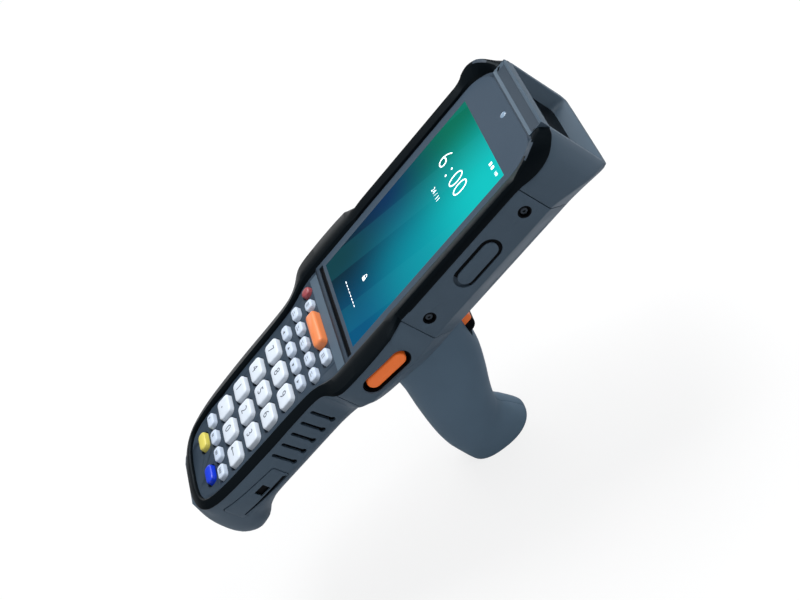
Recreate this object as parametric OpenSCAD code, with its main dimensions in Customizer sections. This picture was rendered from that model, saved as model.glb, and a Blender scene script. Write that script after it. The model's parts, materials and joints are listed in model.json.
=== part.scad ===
// Portable barcode data terminal with a pistol grip.
// The terminal frame has X to the right, Y towards the scan head and Z out of the display.
// stand() then sets the terminal on the flat face of its grip foot.

/* [Display] */
// Width of the lit display area
lcd_w = 56.2; // [54:0.1:57]
// Length of the lit display area
lcd_l = 93.6; // [90:0.2:94]
// Width of the touch glass
glass_w = 65; // [63:0.5:66]

/* [Body] */
// Width of the body beside the display
body_w = 78.4; // [77:0.2:80]
// Width across the two side scan buttons
button_w = 90; // [87:0.5:91]
// Width of the keypad handle
handle_w = 64.4; // [63:0.2:66]
// Distance from the display centre to the front of the scan head
head_y = 71; // [70:0.5:72]
// Distance from the display centre to the tail end of the deck
tail_y = 157.2; // [156:0.2:158.4]
// Depth of the body behind the display
body_depth = 37; // [35:0.5:39]
// Thickness of the housing walls
wall = 2.4; // [2:0.1:2.8]

/* [Keypad] */
// Key travel when pressed
key_travel = 1; // [0.6:0.1:1.1]
// Gap round each key in the deck
key_gap = 0.3; // [0.2:0.05:0.4]
// Sideways pitch of the number keys
number_pitch_x = 15.1; // [14.8:0.1:15.4]
// Lengthwise pitch of the number keys
number_pitch_y = 11.9; // [11.6:0.1:12.1]

/* [Grip] */
// Tilt of the terminal when it stands on its grip foot
stand_tilt = 12; // [10:0.5:14]
// Width of the grip
grip_w = 29; // [27:0.5:30]
// Angle that the trigger turns through when pulled
trigger_pull = 7; // [4:1:8]
// Radius of the trigger pin
trigger_pin_r = 1.5; // [1.3:0.1:1.7]

/* [Hidden] */
zt = -3;                // plane where the housings meet the front frame
deck_z = -0.5;          // top of the keypad deck
rim_z = 0.8;            // top of the rim round the glass
seam_head = 48.5;       // seam between head cap and rear cover
seam_low = -21.5;       // seam between rear cover and button housing
seam_handle = -62;      // seam between button housing and handle
side_z = -18.7;         // lower edge of the flat side walls
foot = [0, -67, -106.8];    // centre of the foot's flat face in the terminal frame
band_w = 5.2;           // width of the elastomer band seen from above
key_top = 1.5;          // height of the key tops
scan_key_top = 3;       // height of the scan key's top
pocket_z = -8.1;        // floor of the keypad pocket
fit = 0.05;             // running clearance on radius
recess_gap = 0.9;       // groove round the port cover
slate = [0.25, 0.30, 0.35];
dark = [0.05, 0.07, 0.09];
key_white = [0.88, 0.91, 0.95];
key_grey = [0.74, 0.80, 0.87];
orange = [0.93, 0.42, 0.13];

// ---- Keys: [name, x, y, width, length, kind] ----
function row(names, y, pitch, w, l, kind) = [
    for (i = [0 : len(names) - 1])
        [names[i], (i - (len(names) - 1) / 2) * pitch, y, w, l, kind]
];
number_y = -88.8;
number_names = [
    ["key_7", "key_8", "key_9"],
    ["key_4", "key_5", "key_6"],
    ["key_1", "key_2", "key_3"],
    ["key_dot", "key_0", "key_delete"]
];
KEYS = concat(
    [
        ["key_power", -25.4, -61.6, 5.6, 5.6, "round"],
        ["key_menu", -16.6, -62, 6, 5.4, "small"],
        ["key_scan", 0.6, -62, 21.4, 6.4, "orange"],
        ["key_clear", 18, -62, 8.6, 5.6, "small"]
    ],
    row([for (i = [1 : 5]) str("key_soft_", i)], -70.6, 10.24, 7.8, 5.2, "small"),
    row(["key_left", "key_up", "key_down", "key_right"], -78.9, 10.96, 8.6, 5.2, "small"),
    [
        for (r = [0 : 3])
            each row(number_names[r], number_y - r * number_pitch_y, number_pitch_x, 12.6, 9, "white")
    ],
    row([for (i = [1 : 4]) str("key_fn_", i)], -134.4, 10.96, 8.4, 5.2, "small"),
    [
        ["key_yellow", -10.2, -142, 11, 5.8, "yellow"],
        ["key_blue", 10.8, -142, 11, 5.8, "blue"]
    ]
);

// ---- Shape helpers ----
function mirrored(p) = concat(p, [for (i = [len(p) - 1 : -1 : 0]) if (p[i][0] != 0) [-p[i][0], p[i][1]]]);

// Smooth curve through points, n steps for each span
function knot(p, i) = p[max(0, min(len(p) - 1, i))];
function smooth_at(a, b, c, d, t) =
    0.5 * (2 * b + (c - a) * t + (2 * a - 5 * b + 4 * c - d) * t * t + (3 * b - a - 3 * c + d) * t * t * t);
function smooth(p, n = 4) = concat(
    [
        for (i = [0 : len(p) - 2]) for (j = [0 : n - 1])
            smooth_at(knot(p, i - 1), p[i], p[i + 1], knot(p, i + 2), j / n)
    ],
    [p[len(p) - 1]]
);

// Right half of the plan outline, from the tail to the head
half_tail = [
    [0, -tail_y], [10.5, -tail_y + 0.9], [19.6, -tail_y + 4], [26, -tail_y + 11.6],
    [29, -136], [31.4, -122], [handle_w / 2, -108], [handle_w / 2, -90]
];
half_waist = [
    [handle_w / 2, -90], [handle_w / 2 + 0.2, -76], [handle_w / 2 + 3.4, -68.5],
    [button_w / 2 - 3, -62.6], [button_w / 2, -57], [button_w / 2, -40],
    [button_w / 2 - 0.8, -30], [body_w / 2 + 1, -20], [body_w / 2, -10]
];
half_head = [
    [body_w / 2, 40], [body_w / 2, 50], [body_w / 2 - 0.8, 58], [35.2, 65.2], [29.5, 69.8], [25, head_y]
];
plan_half = concat(smooth(half_tail), smooth(half_waist), smooth(half_head));

module plan_outline() {
    polygon(mirrored(concat([[0, -tail_y]], [for (p = plan_half) if (p[0] > 0) p], [[0, head_y]])));
}

// Plan outline of the deck and glass rim, inside the elastomer band
half_deck = concat(
    smooth([
        [0, -153], [9, -152.4], [17, -148.4], [21.6, -141], [23.6, -130], [26, -112], [26.6, -96],
        [26.8, -80], [28.5, -70], [32.5, -62], [34, -54], [34, -40], [34, -22]
    ]),
    smooth([[34, 40], [34, 48], [33, 55], [28.5, 62.5], [22.6, 66]])
);
module deck_outline() {
    polygon(mirrored(concat([[0, -153]], [for (p = half_deck) if (p[0] > 0) p], [[22.6, 67], [22.6, head_y - 0.2], [0, head_y - 0.2]])));
}

module slab(z0, z1) {
    translate([0, 0, z0]) linear_extrude(z1 - z0) children();
}

module rounded(w, l, r) {
    square([w, l - 2 * r], center = true);
    square([w - 2 * r, l], center = true);
    for (sx = [-1, 1], sy = [-1, 1])
        translate([sx * (w / 2 - r), sy * (l / 2 - r)]) circle(r, $fn = 32);
}

// Lies across the Y axis: its 2D y becomes Z
module across(y0, y1) {
    translate([0, y1, 0]) rotate([90, 0, 0]) linear_extrude(y1 - y0) children();
}

// Stadium slot that runs along Y, cut into the side at x
module side_stadium(x0, x1, y, z, l, h, turn = 0) {
    translate([x0, y, z]) rotate([turn, 0, 0]) rotate([90, 0, 90])
        linear_extrude(x1 - x0) {
            square([l - h, h], center = true);
            for (s = [-1, 1]) translate([s * (l - h) / 2, 0]) circle(h / 2, $fn = 40);
        }
}

// ---- Sections of the housing, right half, in X and Z ----
function chamfered(w, zs, xc, zc, zb) = [[0, zt], [w, zt], [w - 0.3, zs], [xc, zc], [xc - 5, zb], [0, zb]];
function rounded_under(w, zs, zb, top = 0, e = 1) = concat(
    [[0, zt], [w - top, zt]],
    [for (i = [0 : 6]) [w * pow(cos(15 * i), e), zs + (zb - zs) * pow(sin(15 * i), e)]]
);
// Housing between stations of [y, half section]
module loft(stations) {
    for (i = [0 : len(stations) - 2]) {
        y0 = stations[i][0];
        y1 = stations[i + 1][0];
        hull() {
            across(y0, y0 + 0.02) polygon(mirrored(stations[i][1]));
            across(y1 - 0.02, y1) polygon(mirrored(stations[i + 1][1]));
        }
    }
}
rear_section = chamfered(body_w / 2, side_z, 22, -35.7, -body_depth);
rear_inside = [
    [0, zt], [body_w / 2 - wall, zt], [body_w / 2 - wall, side_z + 1],
    [22 - wall / 2, -35.7 + wall], [17, -body_depth + wall], [0, -body_depth + wall]
];
head_stations = [
    [seam_head, rear_section],
    [57, chamfered(body_w / 2 - 0.7, -21, 22, -35.6, -body_depth)],
    [65, chamfered(35.4, -25, 23, -34.6, -body_depth + 1)],
    [head_y, chamfered(26, -32.6, 24, -34.4, -34.8)]
];
button_stations = [
    [seam_handle, chamfered(button_w / 2 - 2.4, -12.5, 27.5, -27.6, -30.4)],
    [-56, chamfered(button_w / 2 - 0.4, -13, 28, -28, -32)],
    [-40, chamfered(button_w / 2, -14.5, 29.5, -28.6, -34.4)],
    [-30, chamfered(button_w / 2 - 1.2, -16.5, 27, -31.4, -36)],
    [seam_low, rear_section]
];
handle_stations = [
    [-161, rounded_under(14, -10, -25, 9, 0.7)],
    [-157.6, rounded_under(20.6, -12, -30, 7, 0.75)],
    [-149, rounded_under(25.8, -13, -34, 2.4, 0.85)],
    [-134, rounded_under(29.4, -14, -29, 0, 0.95)],
    [-112, rounded_under(handle_w / 2, -14, -26.8)],
    [-75, rounded_under(handle_w / 2 + 0.4, -14, -27)],
    [-68, rounded_under(35.4, -13, -28)],
    [seam_handle, chamfered(button_w / 2 - 2.4, -12.5, 27.5, -27.6, -30.4)]
];

// ---- Front ----
ledge_y = [-54, -51];       // foot and top of the slope between deck and glass rim
module front_frame() color(slate) difference() {
    union() {
        slab(zt, deck_z) deck_outline();
        intersection() {
            slab(zt, rim_z) deck_outline();
            along_x(-50, 50) polygon([
                [ledge_y[0], zt], [ledge_y[0], deck_z], [ledge_y[1], rim_z], [90, rim_z], [90, zt]
            ]);
        }
    }
    slab(-0.2, rim_z + 1) glass_outline();
    slab(zt - 1, 0) square([lcd_w + 4, lcd_l + 5], center = true);
    translate([-30.5, ledge_y[1], -1.6]) cube([61, 2.4, 3]);
    for (k = KEYS) slab(zt - 1, 2) translate([k[1], k[2]]) key_outline(k, key_gap);
    translate([0, 58.4, -1.4]) cylinder(5, r = 1.5 + fit, $fn = 32);
    for (s = [-1, 1], i = [0 : 2])
        translate([s * (24.2 + 1.3 * i), -55.1, deck_z - 0.4]) rotate([0, 0, 12 * s])
            cube([0.5, 1.4, 1], center = true);
}

module glass_outline() {
    translate([0, 1.4]) square([glass_w, 100], center = true);
    translate([0, 7]) rounded(glass_w, 112, 12);
}

module touch_glass() color([0.3, 0.35, 0.4, 0.5]) difference() {
    slab(-0.2, rim_z) glass_outline();
    translate([0, 58.4, -2]) cylinder(5, r = 1.5 + fit, $fn = 32);
}

module display_panel() color([0.05, 0.35, 0.5])
    slab(zt, -0.2) square([lcd_w + 3.6, lcd_l + 4.6], center = true);

module status_lens() color([0.6, 0.7, 0.8]) translate([0, 58.4, -1.4]) cylinder(2, r = 1.5, $fn = 32);

// Elastomer band round the deck, raised at the head corners and beside the scan buttons
band_edge = [[0, 1.9], [0.35, 0.9], [0.9, 0.3], [1.6, 0]];     // inset and drop of its round edge
module band_layers(top, y0, y1) {
    for (e = band_edge) slab(zt, top - e[1]) intersection() {
        offset(delta = -e[0]) plan_outline();
        translate([-50, y0 + e[0]]) square([100, y1 - y0 - 2 * e[0]]);
    }
}
module bumper_band() color(dark) difference() {
    union() {
        band_layers(rim_z + 0.1, -tail_y - 3, head_y + 3);
        band_layers(rim_z + 2.1, seam_head - 1.4, head_y + 3);
        band_layers(rim_z + 1.4, -62, -23);
    }
    slab(zt - 1, 4) deck_outline();
    translate([-22.6, 60, zt - 1]) cube([45.2, 20, 8]);
}

// ---- Housings ----
module head_cap() color(slate) difference() {
    loft(head_stations);
    hull() {
        across(head_y - 0.2, head_y + 1) translate([-23.5, -31.6]) square([47, 29]);
        across(64.4, 64.6) translate([-19, -29]) square([38, 24]);
    }
    translate([-17, 50.5, -30]) cube([34, 12.4, 28]);
    translate([-19.6, 62.8, -29.6]) cube([39.2, 1.7, 25.2]);
    across(40, 50.5) polygon(mirrored([[0, 2], [34, 2], [34, -17], [26, -28], [0, -28]]));
}

// A channel that is open to the head cap and to the button housing
module rear_cover() color(slate) difference() {
    across(seam_low, seam_head) polygon(mirrored(rear_section));
    across(seam_low - 1, seam_head + 1)
        polygon(mirrored([for (p = rear_inside) [p[0], p[1] + (p[1] == zt ? 1 : 0)]]));
    for (s = [-1, 1], y = [-14.9, 42.2]) translate([0, y, -10.5]) rotate([0, 90 * s, 0]) {
        translate([0, 0, body_w / 2 - 1.6]) cylinder(4, r = 3, $fn = 40);
        translate([0, 0, 30]) cylinder(12, r = 1.1, $fn = 32);
    }
    side_stadium(body_w / 2 - 1.5, body_w / 2 + 3, 14.8, -10.3, 24.6, 9.4);
    side_stadium(30, body_w / 2 + 3, 14.8, -10.3, 15, 5.4);
}

module button_housing() color(slate) difference() {
    loft(button_stations);
    across(seam_handle + wall, seam_low + 1) polygon(mirrored([[0, 2], [34, 2], [34, -15], [24, -26], [0, -26]]));
    translate([-32, seam_handle - 1, pocket_z]) cube([64, 8, 10]);
    for (s = [0, 1]) mirror([s, 0, 0]) {
        side_stadium(40.4, 50, -41.6, -8.8, 24, 10, -6);
        side_stadium(30, 45, -41.6, -8.8, 19.6 + 2 * key_gap, 6.2 + 2 * key_gap, -6);
    }
}

battery_box = [42, 68, 12.6];   // width, length and depth of the battery pack
battery_y = -145;               // tail end of the battery pack
module battery_bay(grow = 0) {
    translate([-battery_box[0] / 2 - grow, battery_y - grow, -40])
        cube([battery_box[0] + 2 * grow, battery_box[1] + 2 * grow, 40 - 9.5]);
}

module handle_shell() color(slate) difference() {
    loft(handle_stations);
    slab(pocket_z, 1) keypad_pocket(wall, -152, seam_handle + 1);
    battery_bay(0);
    battery_lip();
    for (s = [0, 1]) mirror([s, 0, 0]) {
        for (i = [0 : 4]) grip_slot(-79.6 - 6.6 * i);
        dock_place() translate([-1.4, -16.4, -4.9]) cube([6, 32.8, 9.8]);
        dock_place() rotate([-2, 0, 0]) translate([-2.4, -15, -7.2]) cube([6, 29, 1.6]);
    }
}

// Plan of the pocket under the deck between two places along the handle
module keypad_pocket(inset, y0, y1) {
    intersection() {
        offset(delta = -inset) plan_outline();
        translate([-32, y0]) square([64, y1 - y0]);
    }
}

// Shallow finger slot that leans forward and has a wider round lower end
module grip_slot(y) {
    translate([30.6, y, -3.9]) rotate([6.5, 0, 0]) {
        rotate([0, 90, 0]) cylinder(6, r = 0.6, $fn = 24);
        translate([0, -0.6, -9.6]) cube([6, 1.2, 9.6]);
        translate([0, 0, -9.6]) rotate([0, 90, 0]) cylinder(6, r = 1, $fn = 24);
    }
}

// Seat of a dock insert, turned to follow the tapering side
module dock_place() {
    translate([29.5, -128.3, -10.4]) rotate([0, 0, -9.3]) children();
}

module battery_lip() {
    translate([-22.6, -147, -45]) cube([45.2, 72, 45 - 20.4]);
}

module battery_cover() color(slate) intersection() {
    loft(handle_stations);
    difference() {
        battery_lip();
        translate([-battery_box[0] / 2, battery_y, -9.5 - battery_box[2]]) cube(battery_box);
    }
}

module dock_inserts() color(slate) for (s = [0, 1]) mirror([s, 0, 0]) dock_place() difference() {
    translate([-1.4, -16.2, -4.7]) cube([1.6, 32.4, 9.4]);
    translate([-2, 4.5, -2.4]) cube([4, 7.4, 5]);
}

// ---- Inside ----
module main_board() color("darkgreen") slab(zt - 1.6, zt) square([63, 96], center = true);

module key_board() color("darkgreen") slab(pocket_z, -6.5) keypad_pocket(wall + 1.2, -148, -56.4);

module keypad_mat() color([0.2, 0.22, 0.25]) {
    slab(-6.5, -5.4) keypad_pocket(wall + 1.2, -148, -56.4);
    for (k = KEYS) translate([k[1], k[2], -5.4]) cylinder(0.45, r = 2.2, $fn = 24);
}

module battery_pack() color([0.15, 0.15, 0.17])
    translate([-battery_box[0] / 2, battery_y, -9.5 - battery_box[2]]) cube(battery_box);

module scan_window() color([0.02, 0.02, 0.03])
    translate([-19.6, 62.8, -29.6]) cube([39.2, 1.7, 25.2]);

module scan_engine() color([0.1, 0.1, 0.12]) difference() {
    translate([-13, 50.5, -25]) cube([26, 12.3, 16]);
    for (x = [-7, 7]) translate([x, 60, -17]) rotate([-90, 0, 0]) cylinder(5, r = 3.2, $fn = 32);
}

// ---- Side fittings ----
// Hinge line of the port cover, in a round knuckle behind its tail end
port_hinge = [body_w / 2 - 0.2, 3.9];
module port_cover() color(slate) {
    difference() {
        side_stadium(body_w / 2 - 1.5, body_w / 2 + 0.4, 14.8, -10.3, 24.6 - 2 * recess_gap, 9.4 - 2 * recess_gap);
        translate([body_w / 2 - 3, 3, -20]) cube([2.8, 2.6, 20]);
    }
    translate([port_hinge[0], port_hinge[1], -12.1]) cylinder(3.6, r = 0.5, $fn = 32);
}

// Connector behind the port cover, with a flange against the inside of the wall
module side_port() color("silver") difference() {
    union() {
        side_stadium(30, body_w / 2 - 2, 14.8, -10.3, 14.6, 5);
        side_stadium(33, body_w / 2 - wall, 14.8, -10.3, 18, 8);
    }
    side_stadium(32, body_w / 2 + 2, 14.8, -10.3, 9, 2.8);
}

module side_screws() color([0.12, 0.12, 0.13]) for (s = [-1, 1], y = [-14.9, 42.2])
    translate([0, y, -10.5]) rotate([0, 90 * s, 0]) difference() {
        union() {
            translate([0, 0, body_w / 2 - 1.6]) cylinder(1.2, r = 2.2, $fn = 40);
            translate([0, 0, 32]) cylinder(body_w / 2 - 33, r = 1.1, $fn = 32);
        }
        translate([0, 0, body_w / 2 - 1.1]) cylinder(2, r = 1, $fn = 6);
    }

// The inner flange stops the button against the wall of its housing
module side_button() {
    side_stadium(34, 45.2, -41.6, -8.8, 19.6, 6.2, -6);
    side_stadium(33, 34, -41.6, -8.8, 21.8, 8.2, -6);
}
module side_button_right() color(orange) side_button();
module side_button_left() color(orange) mirror([1, 0, 0]) side_button();

// ---- Keys ----
module key_outline(k, grow = 0) {
    w = k[3] + 2 * grow;
    l = k[4] + 2 * grow;
    if (k[5] == "round") circle(w / 2, $fn = 40);
    else rounded(w, l, min(k[5] == "white" ? 2.6 : 2.2, l / 2 - 0.05) + grow);
}
function key_color(kind) =
    kind == "white" ? key_white :
    kind == "orange" ? orange :
    kind == "yellow" ? [0.92, 0.86, 0.35] :
    kind == "blue" ? [0.08, 0.25, 0.8] :
    kind == "round" ? [0.6, 0.15, 0.18] : key_grey;
// Domed key with a flange that stops it under the deck
module key(k) color(key_color(k[5])) {
    top = k[5] == "orange" ? scan_key_top : key_top;
    intersection() {
        slab(zt, top) translate([k[1], k[2]]) key_outline(k);
        translate([k[1], k[2], top - 34]) sphere(34, $fn = 96);
    }
    slab(zt - 0.9, zt) translate([k[1], k[2]]) key_outline(k, 0.7);
}

// ---- Pistol grip ----
// [z, front y, back y, half width]
grip_stations = [
    [-30, -15.6, -61, grip_w / 2 - 1],
    [-50, -24.4, -66.5, grip_w / 2 - 0.5],
    [-64, -30.4, -73, grip_w / 2],
    [-84, -45.2, -80.8, grip_w / 2],
    [-96.4, -53.8, -82.2, grip_w / 2 - 0.5],
    [-102, -51.4, -82.6, grip_w / 2 - 0.5],
    [-111, -49.8, -82.4, grip_w / 2 - 0.7],
    [-122, -52, -81, grip_w / 2 - 2]
];
function egg(a, b, e = 0.8) = [
    for (i = [0 : 27]) let (t = 360 * i / 28, c = cos(t), s = sin(t))
        [a * sign(c) * pow(abs(c), e), b * sign(s) * pow(abs(s), e)]
];
module grip_station(s) {
    translate([0, (s[1] + s[2]) / 2, s[0]]) linear_extrude(0.02) polygon(egg(s[3], (s[1] - s[2]) / 2));
}
// Everything below the plane of the foot, raised by up
module below_foot(up = 0) {
    translate(foot) rotate([-stand_tilt, 0, 0]) translate([-60, -60, -40 + up]) cube([120, 120, 40]);
}
module grip_solid() {
    for (i = [0 : len(grip_stations) - 2]) hull() {
        grip_station(grip_stations[i]);
        grip_station(grip_stations[i + 1]);
    }
}
trigger_pivot = [-25.4, -43];   // Y and Z of the trigger pin
plate_line = [[-64.5, -33], [-24, -39.2], [-8, -39.2]];     // underside of the grip plate
module along_x(x0, x1) {
    translate([x0, 0, 0]) rotate([90, 0, 90]) linear_extrude(x1 - x0) children();
}
module grip_half() difference() {
    grip_solid();
    below_foot(2);
    along_x(-20, 20) polygon(concat([[-70, -32.2]], plate_line, [[0, -39.2], [0, -20], [-70, -20]]));
    along_x(-8, 8) polygon([
        [-34, -30], [-56.5, -30], [-60.5, -48], [-67, -63], [-74, -79], [-77, -93],
        [-77, -115], [-58.5, -115], [-58.5, -97], [-48.5, -80], [-38.5, -62]
    ]);
    along_x(-11, 11) polygon([
        [-38, -36], [-50, -34], [-54, -48], [-60, -63], [-67, -79], [-70.5, -93],
        [-71, -114], [-63.5, -114], [-63.5, -97], [-54, -80], [-44, -62]
    ]);
    along_x(-5.4, 5.4) polygon([[-10, -38], [-33, -38], [-33, -57], [-26, -57.4], [-10, -58]]);
    translate([-4, -40, -56]) cube([8, 10, 6]);
    translate([-8.6, trigger_pivot[0], trigger_pivot[1]]) rotate([0, 90, 0])
        cylinder(17.2, r = trigger_pin_r, $fn = 32);
}
module grip_shell_right() color(slate) intersection() {
    grip_half();
    translate([0, -120, -140]) cube([40, 140, 140]);
}
module grip_shell_left() color(slate) intersection() {
    grip_half();
    translate([-40, -120, -140]) cube([40, 140, 140]);
}
module grip_base() color(slate) intersection() {
    grip_solid();
    translate(foot) rotate([-stand_tilt, 0, 0]) translate([-60, -60, 0]) cube([120, 120, 2]);
}
// Plate between the grip and the curved back of the housing
module grip_plate() color(slate) along_x(-15, 15) polygon(concat(plate_line, [
    [-8, -body_depth], [seam_low, -body_depth], [-30, -36], [-40, -34.4], [-56, -32], [seam_handle, -30.4], [-64.5, -29.8]
]));

// ---- Trigger ----
module trigger() color(orange) difference() {
    along_x(-5, 5) polygon(concat(
        [[-22, -40.4], [-29, -40.4], [-30, -44], [-30, -54]],
        smooth([[-28.6, -55.6], [-25.6, -55.4], [-22.8, -53.4], [-21.2, -50], [-21, -45], [-22, -40.4]], 5)
    ));
    translate([-10, trigger_pivot[0], trigger_pivot[1]]) rotate([0, 90, 0])
        cylinder(20, r = trigger_pin_r + fit, $fn = 32);
}
module trigger_pin() color("silver") translate([-8.6, trigger_pivot[0], trigger_pivot[1]]) rotate([0, 90, 0])
    cylinder(17.2, r = trigger_pin_r, $fn = 32);
module trigger_switch() color(dark) translate([-4, -38, -56]) cube([8, 6.2, 6]);

// ---- Assembly ----
// The foot's centre is the origin, and the foot's face lies flat on the ground plane
module stand() {
    rotate([stand_tilt, 0, 0]) translate(-foot) children();
}

for (k = KEYS) stand() key(k);
stand() front_frame();
stand() bumper_band();
stand() touch_glass();
stand() display_panel();
stand() status_lens();
stand() head_cap();
stand() rear_cover();
stand() button_housing();
stand() handle_shell();
stand() battery_cover();
stand() battery_pack();
stand() main_board();
stand() key_board();
stand() keypad_mat();
stand() scan_window();
stand() scan_engine();
stand() port_cover();
stand() side_port();
stand() side_screws();
stand() side_button_right();
stand() side_button_left();
stand() dock_inserts();
stand() grip_plate();
stand() grip_shell_right();
stand() grip_shell_left();
stand() grip_base();
stand() trigger();
stand() trigger_pin();
stand() trigger_switch();
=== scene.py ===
# %% [markdown]
# # A data terminal with a pistol grip
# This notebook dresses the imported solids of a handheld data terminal. The solids carry the
# sizes and the moving parts. What is made here gives the product its skin: lofted housings,
# soft edges, an elastomer bumper, key caps with printed digits and a lit screen.

import json
import math

import bpy
from mathutils import Matrix, Vector


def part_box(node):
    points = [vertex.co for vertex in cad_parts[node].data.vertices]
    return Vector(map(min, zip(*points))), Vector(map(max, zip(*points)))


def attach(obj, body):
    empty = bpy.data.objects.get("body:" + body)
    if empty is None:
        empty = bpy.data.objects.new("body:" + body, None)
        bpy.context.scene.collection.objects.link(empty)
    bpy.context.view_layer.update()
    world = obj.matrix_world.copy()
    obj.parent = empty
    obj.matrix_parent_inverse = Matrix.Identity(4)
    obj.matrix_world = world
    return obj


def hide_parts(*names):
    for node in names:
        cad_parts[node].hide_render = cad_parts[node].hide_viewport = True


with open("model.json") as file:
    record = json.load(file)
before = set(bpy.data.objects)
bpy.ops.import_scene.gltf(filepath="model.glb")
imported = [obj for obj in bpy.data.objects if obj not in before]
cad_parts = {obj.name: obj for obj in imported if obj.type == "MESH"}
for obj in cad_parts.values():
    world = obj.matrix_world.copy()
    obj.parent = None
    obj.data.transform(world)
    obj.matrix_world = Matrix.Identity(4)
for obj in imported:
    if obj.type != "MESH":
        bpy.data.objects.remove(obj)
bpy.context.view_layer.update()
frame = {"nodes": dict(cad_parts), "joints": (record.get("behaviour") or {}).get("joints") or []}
nodes = frame["nodes"]
joints = {j["name"]: j for j in frame["joints"]}

# %% [markdown]
# The terminal stands on its grip foot with the display tilted. It is easier to model it lying
# flat, in millimetres, with X to the user's right, Y towards the scan head and Z out of the
# display. The keys slide straight down into the deck, so the axis of one key joint gives the
# tilt, and the middle of the display panel gives the place.

# %% The terminal's own frame
press = Vector(joints["key_5_press"]["axis"])
TILT = math.atan2(press.y, -press.z)
PANEL_TOP, PANEL_BOTTOM = -0.2, -3.0
turn = Matrix.Rotation(TILT, 4, "X")
low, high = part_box("display_panel")
panel_middle = turn @ Vector((0, 0, (PANEL_TOP + PANEL_BOTTOM) / 2000))
TO_ROW = Matrix.Translation((low + high) / 2 - panel_middle) @ turn @ Matrix.Scale(0.001, 4)
FROM_ROW = TO_ROW.inverted()
print("tilt", round(math.degrees(TILT), 2), "degrees")

# %% [markdown]
# Operators act on whatever is selected, so each helper first clears the selection and then
# picks its object. Faces and edges are picked in code by their place or by their normal.

# %% Selection helpers
def activate(*objects):
    if bpy.context.object and bpy.context.object.mode != "OBJECT":
        bpy.ops.object.mode_set(mode="OBJECT")
    bpy.ops.object.select_all(action="DESELECT")
    for o in objects:
        o.select_set(True)
    bpy.context.view_layer.objects.active = objects[0]


def pick(obj, kind, test):
    """Goes to edit mode with those faces or edges selected that pass a test of middle and direction."""
    activate(obj)
    mesh = obj.data
    for group in (mesh.vertices, mesh.edges, mesh.polygons):
        for item in group:
            item.select = False
    if kind == "FACE":
        for f in mesh.polygons:
            f.select = test(f.center, f.normal)
    else:
        for e in mesh.edges:
            a, b = (mesh.vertices[i].co for i in e.vertices)
            e.select = test((a + b) / 2, (b - a).normalized())
    bpy.context.tool_settings.mesh_select_mode = (False, kind == "EDGE", kind == "FACE")
    bpy.ops.object.mode_set(mode="EDIT")


def everything(obj):
    activate(obj)
    bpy.ops.object.mode_set(mode="EDIT")
    bpy.ops.mesh.select_mode(type="VERT")
    bpy.ops.mesh.select_all(action="SELECT")


def leave():
    bpy.ops.object.mode_set(mode="OBJECT")
    return bpy.context.object


def round_off(obj, kind, test, offset, segments):
    """Bevels the faces or edges that pass the test."""
    pick(obj, kind, test)
    bpy.ops.mesh.bevel(offset=offset, segments=segments)
    return leave()


def outward():
    """Turns all normals of the mesh in edit mode outwards and leaves edit mode."""
    bpy.ops.mesh.select_all(action="SELECT")
    bpy.ops.mesh.normals_make_consistent(inside=False)
    return leave()


def draw_out(shift):
    bpy.ops.mesh.extrude_region_move(TRANSFORM_OT_translate={"value": shift})


def bake():
    """Applies the place, turn and size of the selected object to its mesh."""
    bpy.ops.object.transform_apply(location=True, rotation=True, scale=True)
    return bpy.context.object


def duplicate(obj):
    activate(obj)
    bpy.ops.object.duplicate()
    return bpy.context.object


def apply_modifier(obj, name, kind, **settings):
    activate(obj)
    m = obj.modifiers.new(name, kind)
    for key, value in settings.items():
        setattr(m, key, value)
    bpy.ops.object.modifier_apply(modifier=name)
    return obj


def soften(obj, width, segments=2, angle=30):
    return apply_modifier(
        obj, "soft edges", "BEVEL", width=width, segments=segments,
        limit_method="ANGLE", angle_limit=math.radians(angle),
    )


def join(objects):
    activate(*objects)
    if len(objects) > 1:
        bpy.ops.object.join()
    return bpy.context.object


def carve(obj, cutters):
    """Takes each cutter's shape out of the object."""
    for cutter in cutters:
        apply_modifier(obj, "cut", "BOOLEAN", operation="DIFFERENCE", solver="EXACT", object=cutter)
        bpy.data.objects.remove(cutter)
    return obj

# %% [markdown]
# A mesh in millimetres is moved into the row's frame only when it is finished, and its object
# then stays at the origin, unturned, so that the patterns in its finish keep their place.

# %% Placing a finished piece
made = []


def settle(obj, name, material, replaces=(), body="terminal", smooth=40):
    """Brings a finished piece into the row's frame and says what it rides on and stands for."""
    activate(obj)
    obj.matrix_world = TO_ROW @ obj.matrix_world
    bake()
    if obj.type == "MESH" and smooth:
        bpy.ops.object.shade_smooth_by_angle(angle=math.radians(smooth))
    obj.name = name.replace(" ", "_")
    obj.data.name = obj.name
    obj.data.materials.clear()
    for m in material if isinstance(material, list) else [material]:
        obj.data.materials.append(m)
    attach(obj, body)
    if replaces:
        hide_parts(*replaces)
    made.append(obj)
    return obj


def paint_light_by_slope(obj, test):
    """Gives the second finish, a painted light or shade, to the faces that pass a test of their place
    and upward slope.
    """
    upwards = (TO_ROW.to_3x3() @ Vector((0, 0, 1))).normalized()
    chosen = [f for f in obj.data.polygons if test(FROM_ROW @ f.center, f.normal.dot(upwards))]
    for face in chosen:
        face.material_index = 1
    print(obj.name, len(chosen), "faces in the second finish")

# %% [markdown]
# ## Finishes
# Shader maths is easier to read as Python expressions. Value wraps one output of a node, and
# its operators add the Math nodes. Paint builds a material round one Principled shader.

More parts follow.
